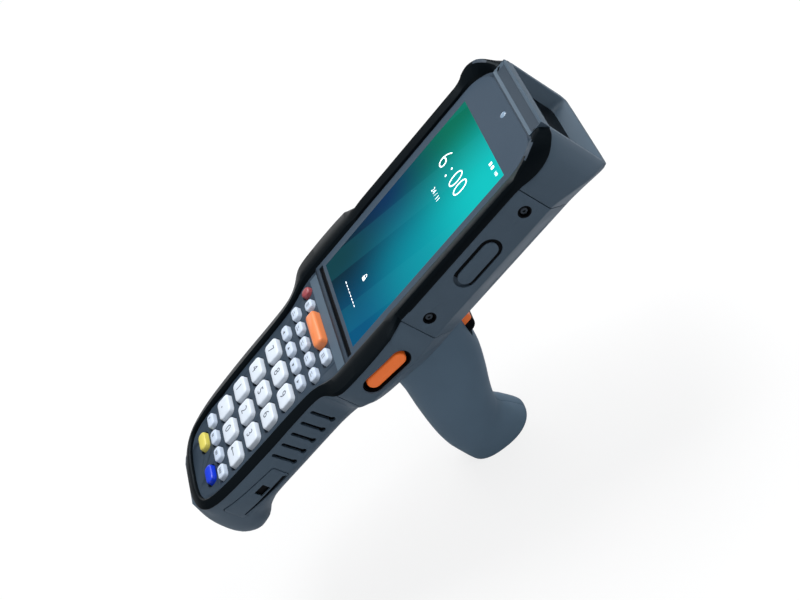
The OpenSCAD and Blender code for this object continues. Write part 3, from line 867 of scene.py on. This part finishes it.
# %% [markdown]
# ## Head strip
# Between the glass and the mouth lies a flat strip with a raised rim and a sunken floor,
# whose darker slate is painted shade against the lit rim.

# %% Head strip
strip = block((-24.6, 24.6), (63.9, HEAD_Y), (-3.55, 1.0))
round_off(strip, "EDGE", lambda c, d: abs(d.x) > 0.9 and c.z > 0 and c.y > 68, 0.5, 3)
pick(strip, "FACE", lambda c, n: n.z > 0.95)
bpy.ops.mesh.inset(thickness=1.25)
bpy.ops.transform.translate(value=(0, 0, -0.7))
strip = leave()
soften(strip, 0.14, 2, 30)
settle(strip, "head strip", [housing, lit_guard_shaded_strip], smooth=20)
# The sunken floor gets the mid slate as painted shade.
paint_light_by_slope(strip, lambda place, up: up > 0.9 and place.z < 0.45)

# %% [markdown]
# ## Screen
# The cover glass is printed slate round its edge. The lit picture is a calm blend of four
# colours with slanting beams of light, and the clock digits stand on it as thin shapes.

# %% Glass border and lit picture
LCD_X, LCD_Y, LENS_Y = 28.08, 46.8, 58.4
GLASS_X, GLASS_LOW, GLASS_HIGH, GLASS_TOP = 32.45, -48.55, 62.95, 0.2

border = block((-GLASS_X, GLASS_X), (GLASS_LOW, GLASS_HIGH), (PANEL_TOP, GLASS_TOP))
round_off(border, "EDGE", lambda c, d: abs(d.z) > 0.9 and c.y > 0, 12, 12)
carve(border, [
    block((-LCD_X, LCD_X), (-LCD_Y, LCD_Y), (-2, 3)),
    rod(1.55, (0, LENS_Y, -2), (0, LENS_Y, 3)),
])
soften(border, 0.12, 2, 40)
settle(border, "glass border", glass_print, ["touch_glass"], smooth=12)

picture = Paint("lit picture", (0.001, 0.002, 0.003), 0.3, Specular_IOR_Level=0.02,
                Emission_Strength=0.84)
u = picture.node("ShaderNodeSeparateXYZ", None, picture.node("ShaderNodeTexCoord", out=2))
v = Value(picture, u.out.node.outputs[1])
lower = picture.mix(u.smooth(0.1, 0.95), tint(0, 40, 54), tint(0, 92, 136))
middle = picture.mix(u.smooth(0.0, 0.9), tint(4, 52, 98), tint(0, 158, 176))
upper = picture.mix(u.smooth(0.05, 0.9), tint(0, 122, 96), tint(14, 214, 212))
blend = picture.mix(v.smooth(0.08, 0.5), lower, middle)
blend = picture.mix(v.smooth(0.42, 0.92), blend, upper)
beam = ((u * 1.1 - v * 0.55) * 9.0 + 0.8).sine().smooth(0.2, 0.3)
glow = picture.mix(beam * 0.08, blend, (0.03, 0.5, 0.56))
picture.feed("Emission Color", glow)
bpy.ops.mesh.primitive_plane_add(size=1)
screen = bpy.context.object
screen.scale = (2 * LCD_X, 2 * LCD_Y, 1)
screen.location = (0, 0, GLASS_TOP - 0.12)
bake()
everything(screen)
draw_out((0, 0, 0.08))
screen = leave()
settle(screen, "lit screen", picture.material)

lens = rod(1.5, (0, LENS_Y, -1.4), (0, LENS_Y, GLASS_TOP - 0.1))
soften(lens, 0.15, 2, 40)
settle(lens, "status lens glass", sensor_glass, ["status_lens"])

# %% [markdown]
# Screen signs are white and lie on the picture. Digits come from text objects that are made
# into meshes. The status signs and the padlock are plain primitives.

# %% Clock and signs
screen_white = Paint("screen white", (0.9, 0.95, 1.0), 0.5, Emission_Strength=1.0,
                     Emission_Color=(0.9, 0.97, 1.0, 1)).material
SIGN_Z, SIGN_HALF = GLASS_TOP - 0.02, 0.02


def lettering(text, size, x, y, z, thin=0.0):
    bpy.ops.object.text_add(location=(0, 0, 0))
    obj = bpy.context.object
    obj.data.body = text
    obj.data.size = size
    obj.data.align_x = "CENTER"
    obj.data.align_y = "CENTER"
    obj.data.offset = thin
    obj.data.extrude = SIGN_HALF
    bpy.ops.object.convert(target="MESH")
    obj = bpy.context.object
    obj.location = (x, y, z)
    bake()
    return obj


def plate(x, y, z, round_by=0.0):
    return block(x, y, (z - SIGN_HALF, z + SIGN_HALF), round_by, 3)


signs = [
    lettering("6", 12.6, -10.6, 27.0, SIGN_Z, -0.3), lettering(":", 11.0, -2.4, 27.0, SIGN_Z, -0.15),
    lettering("00", 12.6, 7.6, 27.2, SIGN_Z, -0.3), lettering("24 / 11", 3.2, 1.0, 16.4, SIGN_Z, -0.03),
]
signs += [plate((x, x + 1.5), (43.2, 44.9), SIGN_Z, round_by=0.3) for x in (15.6, 18.2)]
signs.append(lettering("100", 1.9, 23.4, 44.1, SIGN_Z))
signs.append(plate((0.0, 2.4), (-31.2, -29.7), SIGN_Z, round_by=0.3))
bpy.ops.mesh.primitive_torus_add(major_radius=0.8, minor_radius=0.13, major_segments=24,
                                 minor_segments=6, location=(1.2, -29.3, SIGN_Z))
bpy.context.object.scale = (1, 1.2, 0.1)
signs.append(bake())
for i in range(8):
    signs.append(plate((-7.6 + 2.3 * i, -6.1 + 2.3 * i), (-39.75, -39.45), SIGN_Z, round_by=0.1))
settle(join(signs), "clock and signs", screen_white, smooth=0)

# %% [markdown]
# ## Keys
# Each key cap starts as a plane the size of the key. Its corners are rounded, it is drawn up
# and then inset twice, once for the soft edge and once for the low dome. One cap is made for
# each size and copied to its places.

# %% Key caps
KEY_FOOT = -1.95
DOME, DRAFT = 0.14, 0.3


def key_cap(w, l, r, top, edge, lift):
    bpy.ops.mesh.primitive_plane_add(size=1)
    cap = bpy.context.object
    cap.scale = (w, l, 1)
    cap.location = (0, 0, KEY_FOOT)
    bake()
    everything(cap)
    bpy.ops.mesh.bevel(offset=r, segments=6, affect="VERTICES")
    bpy.ops.mesh.select_all(action="SELECT")
    draw_out((0, 0, top - KEY_FOOT - lift - DOME))
    bpy.ops.transform.resize(value=(1 - 2 * DRAFT / w, 1 - 2 * DRAFT / l, 1))
    dome = (min(min(w, l) * 0.2, r - edge - 0.15), DOME)
    for inward, up in ((edge * 0.3, lift * 0.62), (edge * 0.7, lift * 0.38), dome):
        bpy.ops.mesh.inset(thickness=inward)
        bpy.ops.transform.translate(value=(0, 0, up))
    cap = leave()
    pick(cap, "FACE", lambda c, n: abs(c.z - KEY_FOOT) < 0.01)
    bpy.ops.mesh.delete(type="ONLY_FACE")
    leave()
    everything(cap)
    bpy.ops.mesh.fill_holes(sides=0)
    return outward()


def key_place(name):
    """Middle of a key in the terminal's frame, from its solid."""
    low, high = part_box(name)
    return FROM_ROW @ ((low + high) / 2)


def copy_of(obj, x, y):
    copy = duplicate(obj)
    copy.data = copy.data.copy()
    copy.location = (x, y, 0)
    bake()
    return copy


KEY_TOP, SCAN_KEY_TOP = 1.5, 3.0
key_row_2 = [f"key_soft_{i}" for i in range(1, 6)]
key_row_3 = ["key_left", "key_up", "key_down", "key_right"]
key_row_8 = [f"key_fn_{i}" for i in range(1, 5)]
numbers = ["key_7", "key_8", "key_9", "key_4", "key_5", "key_6", "key_1", "key_2", "key_3",
           "key_dot", "key_0", "key_delete"]
GREY_LOOK = (1.7, KEY_TOP, 0.4, 0.4, grey_key, "key_grey")
# keys, width, length, corner, top, soft edge and its lift, finish, slot
KEY_SIZES = [
    (numbers, 11.9, 8.3, 2.1, KEY_TOP, 0.45, 0.45, white_key, "key_white"),
    (key_row_2, 7.4, 4.8, *GREY_LOOK),
    (key_row_3, 8.2, 4.8, *GREY_LOOK),
    (key_row_8, 8.0, 4.8, *GREY_LOOK),
    (["key_menu"], 5.8, 5.0, *GREY_LOOK),
    (["key_clear"], 8.2, 5.2, *GREY_LOOK),
    (["key_power"], 5.6, 5.6, 2.7, KEY_TOP, 0.8, 0.6, red_key, "key_red"),
    (["key_scan"], 21.4, 6.4, 2.0, SCAN_KEY_TOP, 1.1, 1.0, scan_key_orange, "scan_orange"),
    (["key_yellow"], 10.4, 5.4, 2.4, KEY_TOP + 0.2, 0.8, 0.6, yellow_key, "key_yellow"),
    (["key_blue"], 10.4, 5.4, 2.4, KEY_TOP + 0.2, 0.8, 0.6, blue_key, "key_blue"),
]
places = {}
for names, w, l, r, top, edge, lift, finish, slot in KEY_SIZES:
    pattern = key_cap(w, l, r, top, edge, lift)
    for name in names:
        middle = key_place(name)
        places[name] = (middle.x, middle.y, top)
        settle(copy_of(pattern, middle.x, middle.y), f"{name} cap", finish, [name],
               body=f"{name}_cap", smooth=60)
    bpy.data.objects.remove(pattern)
print(len(places), "keys")

# %% [markdown]
# The digits are printed dark on the white caps. The small keys carry plain signs: arrows,
# bars and dots.

# %% Key print
PRINT_LIFT = 0.015


def arrow(x, y, z, angle, size=0.9):
    bpy.ops.mesh.primitive_cylinder_add(vertices=3, radius=size, depth=0.03, location=(x, y, z))
    obj = bpy.context.object
    obj.rotation_euler = (0, 0, math.radians(angle))
    bake()
    return obj


for name in numbers:
    x, y, top = places[name]
    z = top + PRINT_LIFT
    if name == "key_dot":
        parts = [rod(0.4, (x - 0.7, y - 0.8, z - 0.015), (x - 0.7, y - 0.8, z + 0.015), 16)]
    elif name == "key_delete":
        parts = [arrow(x - 3.2, y, z, 90, 1.0), plate((x - 2.9, x + 1.4), (y - 0.18, y + 0.18), z)]
    else:
        parts = [lettering(name[-1], 5.6, x - 0.7, y, z, -0.05)]
    settle(join(parts), f"{name} print", key_print, body=f"{name}_cap", smooth=0)

ARROWS = {"key_left": 90, "key_up": 0, "key_down": 180, "key_right": -90}
for name in key_row_2 + key_row_3 + key_row_8 + ["key_menu", "key_clear"]:
    x, y, top = places[name]
    z = top + PRINT_LIFT
    if name in ARROWS:
        parts = [arrow(x, y, z, ARROWS[name], 0.95)]
    elif name in key_row_8:
        starts = [x - 1.5 + 0.8 * i for i in range(int(name[-1]))]
        parts = [plate((start, start + 0.4), (y - 0.7, y + 0.7), z) for start in starts]
    elif name in key_row_2:
        parts = [plate((x - 1.2, x + 1.2), (y - 0.8, y - 0.55), z),
                 plate((x - 1.2, x + 0.4), (y + 0.2, y + 0.45), z)]
    else:
        parts = [plate((x - 1.1, x + 1.1), (y - 0.15 + k, y + 0.1 + k), z) for k in (-0.7, 0, 0.7)]
    settle(join(parts), f"{name} print", key_print, body=f"{name}_cap", smooth=0)

# %% [markdown]
# ## Port cover and side screws
# The port cover is a soft stadium flap that swings sideways on its tail end, with a black
# ring round it that is painted shade in its groove. The screws sit deep in their recesses,
# dark, with a six-sided socket, and black wells round them are painted shade.

# %% Port cover and screws
# This black ring under the flap's edge is painted shade in the groove round the cover.
base = side_stadium((BODY_X - 1.4, BODY_X - 0.55), PORT_Y, PORT_Z, PORT_LENGTH - 0.3, PORT_HEIGHT - 0.3)
carve(base, [block((BODY_X - 3, BODY_X - 0.4), (0, 5.4), (-20, 0))])
settle(base, "port groove shade", shade_and_toe_black, body="port_flap")
flap = side_stadium((BODY_X - 0.9, BODY_X + 0.1), PORT_Y, PORT_Z - 0.15,
                    PORT_LENGTH - FLAP_INSET, PORT_HEIGHT - FLAP_INSET)
round_off(flap, "FACE", lambda c, n: n.x > 0.9, 0.35, 3)
settle(flap, "port cover skin", housing, ["port_cover"], body="port_flap")

# The black wells round the screw heads are painted shade in the recesses.
wells, heads = [], []
for s, y in SCREWS:
    wells.append(carve(side_rod(2.78, s, y, -1.62, -0.06), [side_rod(2.2, s, y, -1.4, 1)]))
    screw = soften(side_rod(1.5, s, y, -1.6, -0.75, 32), 0.25)
    heads.append(carve(screw, [side_rod(0.7, s, y, -1.3, 1, 6)]))
settle(join(wells), "screw wells", shade_and_toe_black)
settle(join(heads), "screw heads", black_steel, ["side_screws"])

# %% [markdown]
# ## Dock inserts
# The tail sides hold flat inlaid plates for a charging dock, each with a contact notch and a
# long tapering slot below it.

# %% Dock inserts
PLATE_GAP = 0.35
plate_high, plate_low = [z - PLATE_GAP for z in INLAY_HIGH], [z + PLATE_GAP for z in INLAY_LOW]
insert = side_patch("insert", INLAY_Y0 + PLATE_GAP, INLAY_Y1 - PLATE_GAP, plate_high, plate_low,
                    -0.45, 0.3)
round_ends(insert, 0.5, 1.3)
notch = block((25, 36), (-127.9, -121.8), (-13.3, -9.2))
slit = side_prism(
    [(-141.6, -15.3), (-113.8, -16), (-112.9, -15), (-113.8, -13.5), (-141.6, -14.6)], 25, 36)
carve(insert, [notch, slit])
soften(insert, 0.14, 2, 40)
settle(join([insert, mirrored(insert)]), "dock inserts skin", housing, ["dock_inserts"])
# A black sheet behind each plate is painted shade, seen through the notch, the slot and the gap round
# the plate.
backing = side_patch("backing", INLAY_Y0 + 0.3, INLAY_Y1 - 0.3, plate_high, plate_low, -0.8, -0.6)
settle(join([backing, mirrored(backing)]), "insert backing", shade_and_toe_black)

# %% [markdown]
# ## Pistol grip
# The grip leans back, swells into the palm and flares forward at the foot. Egg shaped
# sections at a few heights give the form, and the two moulded halves meet in a fine seam.

# %% Grip halves and foot
# z, front y, back y, half width
GRIP = [
    (-122, -51.6, -81, 13.2), (-111, -49.8, -82.4, 13.9), (-102, -51.4, -82.6, 14.1),
    (-96.4, -53.2, -82.2, 14.1), (-90, -49.8, -81.8, 14.4), (-84, -45.6, -80.6, 14.5),
    (-74, -37.6, -77.2, 14.5), (-64, -30.6, -73, 14.4), (-50, -24.4, -66.6, 14),
    (-40, -20, -63.4, 13.7), (-30, -15.6, -61, 13.4),
]


EGG_POWER = 0.84


def egg_ring(z):
    front_y, back_y, half = curve(GRIP, z)
    middle, depth = (front_y + back_y) / 2, (front_y - back_y) / 2
    ring = []
    for i in range(48):
        c, s = math.cos(math.tau * i / 48), math.sin(math.tau * i / 48)
        c, s = (math.copysign(abs(v) ** EGG_POWER, v) for v in (c, s))
        ring.append((half * c, middle + depth * s, z))
    return ring


grip = surface("grip", [egg_ring(z) for z in steps(-122, -30, 1.6)])
floor_cut = block((-60, 60), (-60, 60), (-40, 0))
floor_cut.matrix_world = FROM_ROW @ Matrix.Scale(0.001, 4) @ floor_cut.matrix_world
bake()
PLATE_LINE = [(-72, -31.8), (-64.5, -33), (-24, -39.2), (-4, -39.2), (-4, -20), (-72, -20)]

carve(grip, [
    floor_cut,
    side_prism(PLATE_LINE, -40, 40),
    side_prism([(-10, -38), (-33, -38), (-33, -57), (-27, -57.6), (-10, -58)], -5.6, 5.6),
    block((-0.1, 0.1), (-10, -54), (-120, -20)),
])
soften(grip, 0.5, 3, 40)
settle(grip, "grip skin", grip_plastic, ["grip_shell_right", "grip_shell_left", "grip_base"])

saddle = softened_copy("grip_plate", 0.6)
settle(saddle, "grip saddle", grip_plastic, ["grip_plate"])

# %% [markdown]
# ## Trigger
# The trigger is a curved orange finger rest whose lower end is black. Its side outline is
# drawn as a chain of points, extruded across the grip and rounded all along its edges.

# %% Trigger
lever = side_prism([
    (-22.2, -40.6), (-28.8, -40.6), (-29.8, -44), (-29.8, -54.2), (-28.6, -56.0), (-25.6, -56.2),
    (-23.3, -55.2), (-21.8, -52.6), (-21.2, -49.6), (-21.0, -46.0), (-21.4, -42.8),
], -5, 5)
soften(lever, 1.1, 4, 25)
toe = duplicate(lever)
TOE_Z = -51.2
carve(lever, [block((-8, 8), (-40, -10), (-70, TOE_Z))])
carve(toe, [block((-8, 8), (-40, -10), (TOE_Z - 0.02, -30))])
# The orange part has the faint painted glow of its finish.
settle(lever, "trigger skin", scan_orange, ["trigger"], body="trigger_lever")
settle(toe, "trigger toe", shade_and_toe_black, body="trigger_lever")

# %% [markdown]
# ## What stays as solids
# The pin, the port and the parts inside keep their solids and only get their finishes.

# %% Finishes of the solids
for name, finish in {
    "trigger_pin": black_steel, "trigger_switch": dark_trim, "side_port": port_steel,
    "scan_engine": dark_trim, "keypad_mat": elastomer, "display_panel": dark_trim,
}.items():
    nodes[name].data.materials.clear()
    nodes[name].data.materials.append(finish)

# %% [markdown]
# ## Floor, light and camera
# The floor is near white and fades into a white world, and it keeps a soft shadow. A large
# lamp from the upper left gives the left edges their sheen, and the right side stays calm.

# %% Floor and world
def white_when_seen(tree, plain, share, gloss_share, white_kind, output):
    """Mixes plain light with white for camera rays, and by a smaller share for gloss."""
    white = tree.nodes.new(white_kind)
    white.inputs["Color"].default_value = (1, 1, 1, 1)
    white.inputs["Strength"].default_value = 1.0
    path = tree.nodes.new("ShaderNodeLightPath")
    chain = None
    for ray, part in (("Camera", share), ("Transmission", share), ("Glossy", gloss_share)):
        scaled = tree.nodes.new("ShaderNodeMath")
        scaled.operation = "MULTIPLY"
        scaled.inputs[1].default_value = part
        tree.links.new(path.outputs[f"Is {ray} Ray"], scaled.inputs[0])
        if chain is None:
            chain = scaled
            continue
        most = tree.nodes.new("ShaderNodeMath")
        most.operation = "MAXIMUM"
        tree.links.new(chain.outputs[0], most.inputs[0])
        tree.links.new(scaled.outputs[0], most.inputs[1])
        chain = most
    mix = tree.nodes.new("ShaderNodeMixShader")
    for source, socket in zip((chain.outputs[0], plain, white.outputs[0]), mix.inputs):
        tree.links.new(source, socket)
    tree.links.new(mix.outputs[0], tree.nodes[output].inputs["Surface"])


bpy.ops.object.select_all(action="DESELECT")
bpy.ops.mesh.primitive_plane_add(size=8, location=(0, 0, 0))
floor = bpy.context.object
floor.name = "floor"
PALE, SHADE = (0.93, 0.93, 0.93), (0.52, 0.54, 0.57)
pale = Paint("pale floor", PALE, 0.9, Specular_IOR_Level=0.0)
seen = pale.node("ShaderNodeLightPath")
pale.feed("Base Color", pale.mix(seen, SHADE, PALE))
white_when_seen(pale.tree, pale.shader.outputs[0], 0.8, 0.04, "ShaderNodeEmission", "Material Output")
floor.data.materials.append(pale.material)

world = bpy.data.worlds.new("studio")
bpy.context.scene.world = world
world.use_nodes = True
tree = world.node_tree
ambient = tree.nodes["Background"]
ambient.inputs["Color"].default_value = (0.92, 0.96, 1.0, 1)
direction = tree.nodes.new("ShaderNodeTexCoord")
split = tree.nodes.new("ShaderNodeSeparateXYZ")
ramp = tree.nodes.new("ShaderNodeMapRange")
ramp.interpolation_type = "SMOOTHSTEP"
for socket, value in (("From Min", 0.3), ("From Max", 1.0), ("To Min", 0.1), ("To Max", 0.62)):
    ramp.inputs[socket].default_value = value
tree.links.new(direction.outputs["Generated"], split.inputs[0])
tree.links.new(split.outputs[2], ramp.inputs[0])
tree.links.new(ramp.outputs[0], ambient.inputs["Strength"])
white_when_seen(tree, ambient.outputs[0], 1.0, 0.03, "ShaderNodeBackground", "World Output")

# %% Lamps
CENTRE = TO_ROW @ Vector((0, -40, -20))


def heading(azimuth, elevation):
    """The direction of a viewer, from angles in degrees."""
    a, e = math.radians(azimuth), math.radians(elevation)
    return Vector((math.cos(e) * math.cos(a), math.cos(e) * math.sin(a), math.sin(e)))


def lamp(name, azimuth, elevation, distance, size, power):
    """An area lamp that looks at the terminal from a direction."""
    direction = heading(azimuth, elevation)
    bpy.ops.object.light_add(type="AREA", location=CENTRE + direction * distance)
    obj = bpy.context.object
    obj.name = name
    obj.data.size = size
    obj.data.energy = power
    obj.rotation_euler = direction.to_track_quat("Z", "Y").to_euler()
    return obj


lamp("left softbox", 165, 62, 0.9, 0.6, 8.0)
lamp("left strip", 200, 3, 0.9, 0.45, 0.9)
lamp("front softbox", 75, 45, 1.0, 0.6, 3.5)
lamp("low fill", -45, 12, 1.0, 0.7, 1.7)

# %% [markdown]
# The camera looks down on the terminal from its right side with a long lens and is rolled,
# so that the body lies across the picture.

# %% Camera
CAMERA_AZIMUTH, CAMERA_ELEVATION, CAMERA_ROLL = 17.3164, 36.1487, 48.8863
CAMERA_DISTANCE, CAMERA_LENS = 0.62987, 68.39
AIM = TO_ROW @ Vector((1.6804, -31.2679, -20.0))

towards = heading(CAMERA_AZIMUTH, CAMERA_ELEVATION)
camera_data = bpy.data.cameras.new("camera")
camera = bpy.data.objects.new("camera", camera_data)
bpy.context.scene.collection.objects.link(camera)
camera_data.lens = CAMERA_LENS
camera_data.sensor_width = 36
camera_data.clip_start = 0.01
upright = towards.to_track_quat("Z", "Y").to_matrix().to_4x4()
roll = Matrix.Rotation(-math.radians(CAMERA_ROLL), 4, "Z")
camera.matrix_world = Matrix.Translation(AIM + towards * CAMERA_DISTANCE) @ upright @ roll
bpy.context.scene.camera = camera
bpy.context.scene.view_settings.view_transform = "Standard"

# %% [markdown]
# The scene is brought up to date and the number of pieces made is printed.

# %% Pieces made
bpy.context.view_layer.update()
print(len(made), "pieces made")
